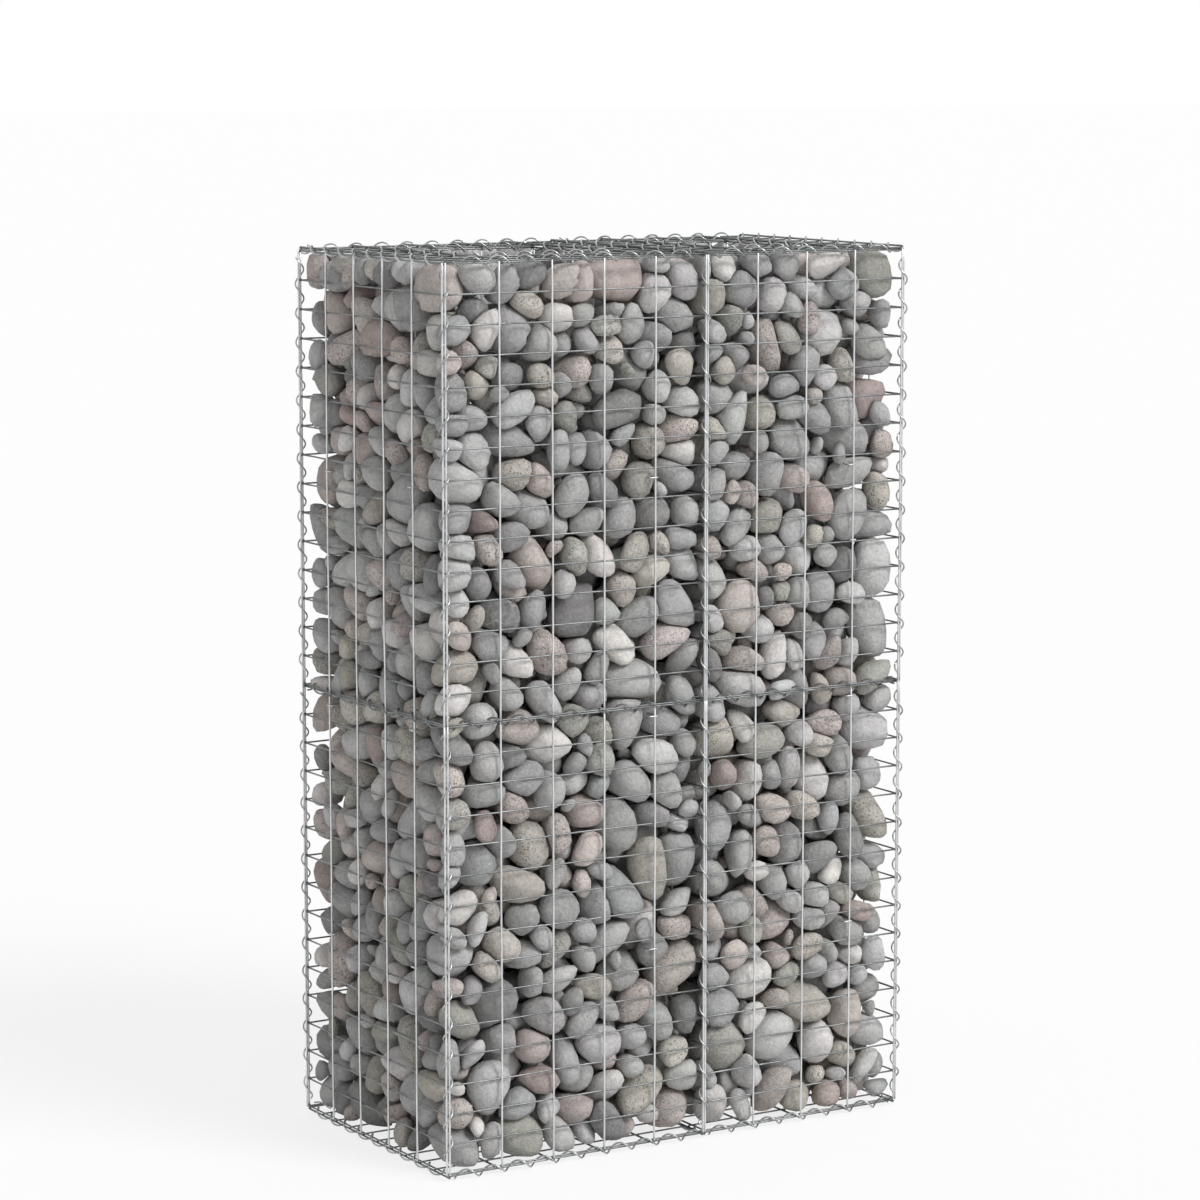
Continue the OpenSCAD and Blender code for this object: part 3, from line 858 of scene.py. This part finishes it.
class Heap:
    """The stones of one bay: places, half lengths, turns, kinds and own seeds."""

    def __init__(self, low, high, hole, full):
        self.low, self.high, self.hole, self.full = low, high, hole, full
        self.places, self.halves = np.zeros((0, 3)), np.zeros((0, 3))
        self.turns, self.kinds = np.zeros((0, 3, 3)), np.zeros(0, int)
        self.seeds, self.small = np.zeros(0, int), np.zeros(0, bool)

    def add(self, rng, places, halves, turns, kinds, small=False):
        count = len(places)
        self.places = np.vstack([self.places, places])
        self.halves = np.vstack([self.halves, halves])
        self.turns = np.concatenate([self.turns, turns])
        self.kinds = np.append(self.kinds, kinds)
        self.seeds = np.append(self.seeds, rng.integers(0, 10 ** 6, count))
        self.small = np.append(self.small, np.full(count, small))
        self.spread = np.einsum("nij,nj,nkj->nik", self.turns, self.halves ** 2, self.turns)
        self.inverse = np.linalg.inv(self.spread)
        self.reach = np.sqrt(np.stack([self.spread[:, i, i] for i in range(3)], 1))

    def extent(self, which, line):
        """How far stones reach along lines: midway between their outline and their surface."""
        outline = np.sqrt(np.einsum("ni,nij,nj->n", line, self.spread[which], line))
        surface = 1 / np.sqrt(np.einsum("ni,nij,nj->n", line, self.inverse[which], line))
        return 0.5 * outline + 0.5 * surface

    def edges(self):
        """Planes that cut the heap's upright edges, as a direction and how far it goes."""
        for x, y in ((1, 1), (1, -1), (-1, 1), (-1, -1)):
            normal = np.array([x, y, 0]) / math.sqrt(2)
            corner = np.where(np.array([x, y, 0]) > 0, self.high, self.low)
            yield normal, normal @ corner - (FULL_EDGE_CUT if (x, y) in self.full else EDGE_CUT)

    def out_of_hole(self):
        """How far each stone has to go to leave the pocket's room, each way out."""
        low, high = self.hole
        past_low, past_high = self.places + self.reach - low, high - self.places + self.reach
        return np.stack([(past_low if way > 0 else past_high)[:, axis] for axis, way in POCKET_SIDES], 1)

    def settle(self, rounds):
        """Moves stones apart until they lie against each other."""
        biggest = self.halves.max(1)
        for step in range(rounds):
            if step % PAIRS_EVERY == 0:
                gap = ((self.places[:, None, :] - self.places[None, :, :]) ** 2).sum(2)
                a, b = np.nonzero(np.triu(gap < (biggest[:, None] + biggest + PAIRS_SLACK) ** 2, 1))
            line = self.places[b] - self.places[a]
            far = np.linalg.norm(line, axis=1) + TINY
            line /= far[:, None]
            need = self.extent(a, line) + self.extent(b, line)
            push = np.maximum(0, need - far)[:, None] * line * PUSH_SHARE
            np.add.at(self.places, a, -push)
            np.add.at(self.places, b, push)
            ways = self.out_of_hole()
            inside, best = (ways > 0).all(1), ways.argmin(1)
            depth = ways[np.arange(len(ways)), best]
            for k, (axis, way) in enumerate(POCKET_SIDES):
                self.places[:, axis] -= np.where(inside & (best == k), way * depth, 0)
            for normal, limit in self.edges():
                past = self.places @ normal + np.sqrt(self.spread @ normal @ normal) - limit
                self.places -= np.maximum(0, past)[:, None] * normal
            self.places = np.clip(self.places, self.low + self.reach, self.high - self.reach)

    def tuck(self, rng):
        """Puts small stones into the gaps near the faces."""
        spots = rng.uniform(self.low + PEBBLE_LEAST, self.high - PEBBLE_LEAST, (PEBBLE_TRIES, 3))
        depth = np.minimum(spots - self.low, self.high - spots).min(1)
        low, high = self.hole
        near_hole = ((spots > low - POCKET_LAYER) & (spots < high + POCKET_LAYER)).all(1)
        in_hole = ((spots > low - PEBBLE_LEAST) & (spots < high + PEBBLE_LEAST)).all(1)
        spots = spots[(depth > PEBBLE_BACK) & ((depth < PEBBLE_DEPTH) | near_hole) & ~in_hole]
        room = np.minimum(spots - self.low, self.high - spots).min(1)
        room = np.minimum(room, np.maximum(low - spots, spots - high).max(1))
        for i in range(len(self.places)):
            gap = spots - self.places[i]
            far = np.linalg.norm(gap, axis=1) + TINY
            close = far < self.halves[i].max() + PEBBLE_MOST
            line = gap[close] / far[close][:, None]
            surface = 1 / np.sqrt(((line @ self.inverse[i]) * line).sum(1))
            room[close] = np.minimum(room[close], far[close] - surface * PEBBLE_PRESS)
        chosen, sizes = [], []
        for i in np.argsort(-room):
            if room[i] < PEBBLE_LEAST or len(chosen) == PEBBLES:
                break
            size = min(room[i], PEBBLE_MOST)
            if all(np.linalg.norm(spots[i] - spots[j]) > size + r for j, r in zip(chosen, sizes)):
                chosen.append(i)
                sizes.append(size)
        sizes = np.array(sizes)[:, None] * rng.uniform(PEBBLE_FLAT, PEBBLE_LONG, (len(sizes), 3))
        kinds = rng.choice(len(KINDS), len(sizes), p=[k[0] for k in KINDS])
        self.add(rng, spots[chosen], sizes, turned(rng, len(sizes)), kinds, True)

    def rooms(self, i):
        """Planes that press on a stone: their directions, and how far off its middle they are."""
        place, (low, high) = self.places[i], self.hole
        gap = self.places - place
        far = np.linalg.norm(gap, axis=1)
        reached = NEAR_SHARE * (self.halves[i].max() + self.halves.max(1))
        near = np.nonzero((far < reached) & (far > TINY))[0]
        line = gap[near] / far[near][:, None]
        mine, theirs = self.extent(np.full(len(near), i), line), self.extent(near, line)
        between = far[near] * mine / (mine + theirs) - STONE_CLEAR / 2
        ways = np.array([
            low[axis] - place[axis] if way > 0 else place[axis] - high[axis]
            for axis, way in POCKET_SIDES
        ])
        best = ways.argmax()
        axis, way = POCKET_SIDES[best]
        pocket = way * np.eye(3)[axis:axis + 1]
        to_pocket = [max(ways[best] - MESH_CLEAR, LEAST_ROOM)]
        lines = np.vstack([line, np.eye(3), -np.eye(3), pocket])
        to_mesh = [self.high - place - MESH_CLEAR, place - self.low - MESH_CLEAR]
        return lines, np.concatenate([between, *to_mesh, to_pocket])

    def worn(self, own, i, ball):
        """A stone's free form, before the others press on it: lumpy, tapered and a little bent."""
        boxy = own.uniform(*BOXY)
        form = ball / ((np.abs(ball) ** boxy).sum(1) ** (1 / boxy))[:, None]
        lump = sum(
            own.uniform(*LUMP_HIGH)
            * np.sin(ball @ own.normal(size=3) * LUMP_CLOSE + own.uniform(0, PHASE))
            for _ in range(LUMPS)
        )
        form = form * (1 + lump)[:, None]
        form[:, 1:] *= (1 + own.uniform(-TAPER, TAPER) * ball[:, :1])
        form[:, 1] += own.uniform(-BEND, BEND) * (ball[:, 0] ** 2 - BEND_MIDDLE)
        return form * self.halves[i] * GROWN

    def stone(self, i, ball):
        """One stone's corners about its middle, in the world and in its own grain, and its look."""
        own = np.random.default_rng(self.seeds[i])
        lines, rooms = self.rooms(i)
        form = self.worn(own, i, ball)
        flats = own.normal(size=(own.integers(*FLATS), 3))
        flats /= np.linalg.norm(flats, axis=1)[:, None]
        flat_room = np.sqrt(((flats * self.halves[i]) ** 2).sum(1))
        flat_room = flat_room * own.uniform(*FLAT_ROOM, len(flats))
        turned_form = form @ self.turns[i].T
        press = (np.maximum(turned_form @ lines.T, 0) / rooms) ** SHARPNESS
        own_press = (np.maximum(form @ flats.T, 0) / flat_room) ** SHARPNESS
        squeeze = (1 + press.sum(1) + own_press.sum(1)) ** (-1 / SHARPNESS)
        _, base, specks, veins = KINDS[self.kinds[i]]
        tint = np.array(base) * own.uniform(*TONE_SPREAD) * own.normal(1, HUE_SPREAD, 3)
        tint = np.append(np.clip(tint, TONE_LEAST, TONE_MOST), 1)
        specks = min(specks * own.uniform(*SPECK_SPREAD), 1)
        veins = min(veins * own.uniform(*VEIN_SPREAD), 1)
        shift = own.uniform(-GRAIN_SHIFT, GRAIN_SHIFT, 3)
        grain = form * squeeze[:, None] + shift
        return turned_form * squeeze[:, None], grain, tint, (specks, veins, 0)

    def deep(self, i):
        """True for a stone so far in that no gap shows it."""
        place, (low, high) = self.places[i], self.hole
        from_faces = np.minimum(place - self.low, self.high - place).min()
        from_hole = np.maximum(low - place, place - high).max()
        return min(from_faces, from_hole) > CORE_DEPTH

    def piece(self, name, node, which):
        """One piece of the stones named, each its own closed form."""
        cobble_ball, pebble_ball, core_ball = map(grid_ball, (COBBLE_CUTS, PEBBLE_CUTS, CORE_CUTS))
        corners, faces, grains, tints, makes, count = [], [], [], [], [], 0
        for i in which:
            free_ball = pebble_ball if self.small[i] else cobble_ball
            ball, ball_faces = core_ball if self.deep(i) else free_ball
            form, grain, tint, make = self.stone(i, ball)
            corners.append(form + self.places[i])
            faces.append(ball_faces + count)
            grains.append(grain)
            tints.append(np.tile(tint, (len(ball), 1)))
            makes.append(np.tile(make, (len(ball), 1)))
            count += len(ball)
        made = mesh_piece(name, np.vstack(corners), np.vstack(faces))
        for attribute, kind, field, values in (
            ("grain", "FLOAT_VECTOR", "vector", grains),
            ("tint", "FLOAT_COLOR", "color", tints),
            ("make", "FLOAT_VECTOR", "vector", makes),
        ):
            layer = made.data.attributes.new(attribute, kind, "POINT")
            layer.data.foreach_set(field, np.vstack(values).ravel())
        deselect()
        made.select_set(True)
        bpy.context.view_layer.objects.active = made
        bpy.ops.object.shade_smooth()
        made.data.materials.append(cobble)
        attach(made, "root")
        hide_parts(node)


def pocket_room(side, top):
    """Low and high corner of a planting pocket's room, up to the top of the heap."""
    near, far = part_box(f"pocket_{side}_near"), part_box(f"pocket_{side}_far")
    front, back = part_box(f"pocket_{side}_front"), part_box(f"pocket_{side}_back")
    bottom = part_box(f"pocket_{side}_floor")[0][2]
    return np.array([near[0][0], front[0][1], bottom]), np.array([far[1][0], back[1][1], top])


def cobble_sizes(rng, volume):
    """Mean half lengths of cobbles, drawn until they fill their share of a volume."""
    sizes = []
    while sum(4 / 3 * math.pi * size ** 3 for size in sizes) < COBBLE_SHARE * volume:
        size = COBBLE_RADIUS * math.exp(rng.normal() * COBBLE_SPREAD)
        sizes.append(min(max(size, COBBLE_LEAST), COBBLE_MOST))
    return np.array(sizes)


for seed, side in ((11, "left"), (12, "right")):
    rng = np.random.default_rng(seed)
    low = np.array(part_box("fill_lower_" + side)[0])
    high = np.array(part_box("fill_upper_" + side)[1])
    hole = pocket_room(side, high[2])
    heap = Heap(low, high, hole, FULL_EDGES[side])
    sizes = cobble_sizes(rng, float(np.prod(high - low) - np.prod(hole[1] - hole[0])))
    long, thin = rng.uniform(*COBBLE_LONG, len(sizes)), rng.uniform(*COBBLE_THIN, len(sizes))
    halves = np.stack([sizes * long, sizes / (long * thin), sizes * thin], 1)
    kinds = rng.choice(len(KINDS), len(sizes), p=[k[0] for k in KINDS])
    places = rng.uniform(low + sizes[:, None], high - sizes[:, None])
    heap.add(rng, places, halves, turned(rng, len(sizes)), kinds)
    heap.settle(COBBLE_ROUNDS)
    heap.tuck(rng)
    upper = heap.places[:, 2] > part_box("fill_lower_" + side)[1][2]
    heap.piece("cobbles_lower_" + side, "fill_lower_" + side, np.nonzero(~upper)[0])
    heap.piece("cobbles_upper_" + side, "fill_upper_" + side, np.nonzero(upper)[0])
